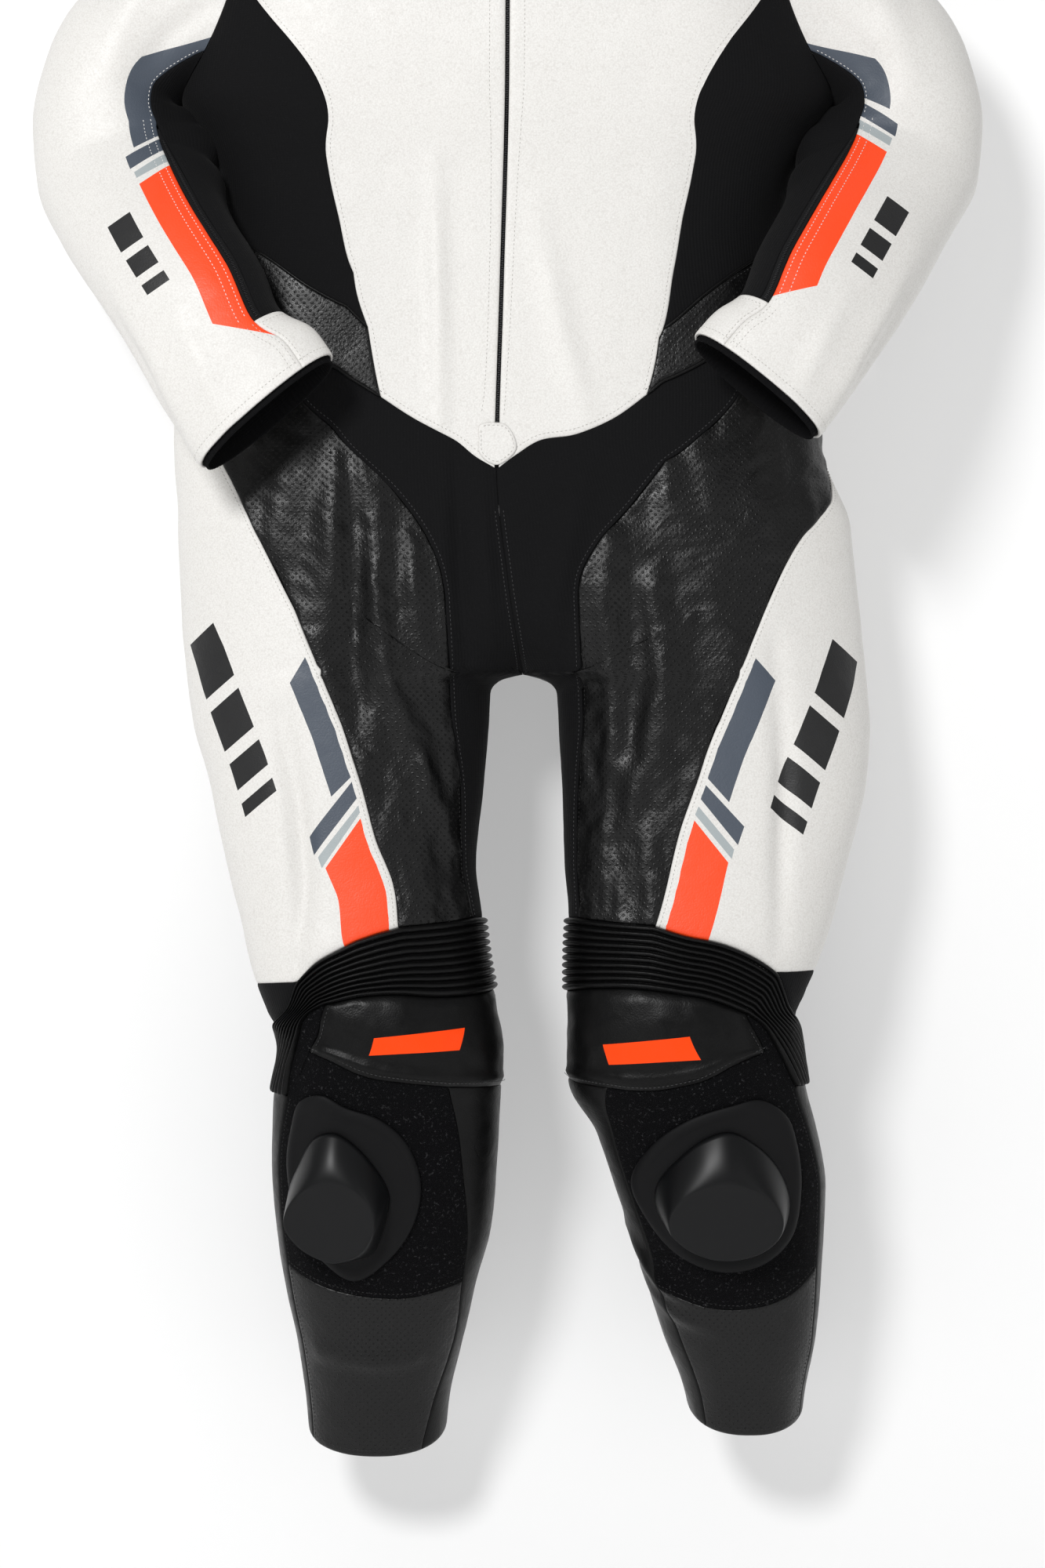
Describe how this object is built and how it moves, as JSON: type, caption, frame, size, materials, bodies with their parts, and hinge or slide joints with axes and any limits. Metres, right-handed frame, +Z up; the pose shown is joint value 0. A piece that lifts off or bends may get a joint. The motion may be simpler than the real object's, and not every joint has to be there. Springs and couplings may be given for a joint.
{
  "type": "motorcycle race suit",
  "caption": "One-piece leather race suit, hollow and hanging filled out, with stretch inserts, ribbed knees, knee sliders and bent sleeves.",
  "frame": {"origin": "middle of the shoulder line, inside the base of the neck", "axes": "+Z up from the hems to the collar, the front faces -Y, the wearer's left is +X"},
  "size_m": [0.8182, 0.2661, 1.4502],
  "materials": {
    "white_leather": "semi-gloss",
    "black_leather": "semi-gloss",
    "perforated_leather": "perforated, semi-gloss",
    "stretch_cloth": "matte",
    "loop_cloth": "matte, speckled",
    "slider_plastic": "satin",
    "zip_tape": "woven",
    "zip_metal": "dark satin"
  },
  "bodies": {
    "suit": {"front_panel_r": "white_leather", "side_panel_r": "stretch_cloth", "hip_band_r": "perforated_leather", "pelvis_r": "stretch_cloth", "seat_r": "black_leather", "thigh_front_r": "perforated_leather", "thigh_outer_r": "white_leather", "knee_ribs_r": "black_leather", "knee_cap_r": "black_leather", "knee_loop_r": "loop_cloth", "knee_back_r": "stretch_cloth", "shin_r": "black_leather", "calf_r": "black_leather", "sleeve_outer_r": "white_leather", "sleeve_inner_r": "stretch_cloth", "cuff_tab_r": "white_leather", "zip_sleeve_r": "zip_tape", "inner_cuff_r": "stretch_cloth", "slider_base_r": "slider_plastic", "knee_slider_r": "slider_plastic", "front_panel_l": "white_leather", "side_panel_l": "stretch_cloth", "hip_band_l": "perforated_leather", "pelvis_l": "stretch_cloth", "seat_l": "black_leather", "thigh_front_l": "perforated_leather", "thigh_outer_l": "white_leather", "knee_ribs_l": "black_leather", "knee_cap_l": "black_leather", "knee_loop_l": "loop_cloth", "knee_back_l": "stretch_cloth", "shin_l": "black_leather", "calf_l": "black_leather", "sleeve_outer_l": "white_leather", "sleeve_inner_l": "stretch_cloth", "cuff_tab_l": "white_leather", "zip_sleeve_l": "zip_tape", "inner_cuff_l": "stretch_cloth", "slider_base_l": "slider_plastic", "knee_slider_l": "slider_plastic", "back_panel": "white_leather", "collar": "black_leather", "zip_main": "zip_tape", "zip_end_tab": "white_leather", "zip_slider": "zip_metal"},
    "pull_tab": {"zip_pull": "zip_metal"}
  },
  "joints": [
    {"name": "pull_tab_swing", "type": "hinge", "parent": "suit", "child": "pull_tab", "pos_m": [-0.00423, -0.07328, -0.022], "axis": [1, 0, 0], "range_deg": [-110, 0]}
  ]
}
